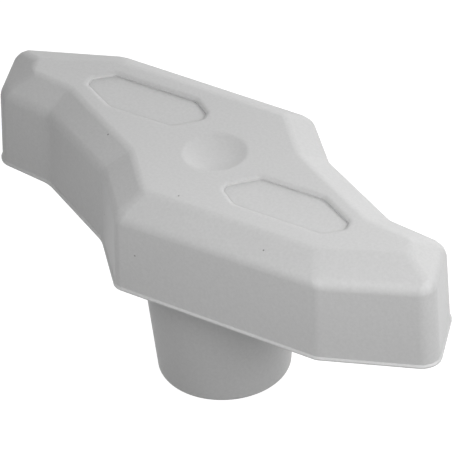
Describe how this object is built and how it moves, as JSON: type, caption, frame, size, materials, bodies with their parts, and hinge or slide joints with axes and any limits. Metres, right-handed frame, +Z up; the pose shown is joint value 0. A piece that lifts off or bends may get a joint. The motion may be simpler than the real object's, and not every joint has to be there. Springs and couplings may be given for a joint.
{
  "type": "grip knob",
  "caption": "Wing-shaped grip knob moulded in light grey plastic, on a tapered hub with a threaded metal bushing in its end.",
  "frame": {"origin": "centre of the hub's flat end, on the screw's axis", "axes": "+Z up along the screw's axis from the hub's end to the wing, +X through the middle of the blade tips"},
  "size_m": [0.0804, 0.0344, 0.0348],
  "materials": {
    "grip_plastic": "fine matte grain, light grey",
    "bushing_brass": "turned"
  },
  "bodies": {
    "root": {"grip_body": "grip_plastic", "threaded_bushing": "bushing_brass"}
  },
  "joints": []
}
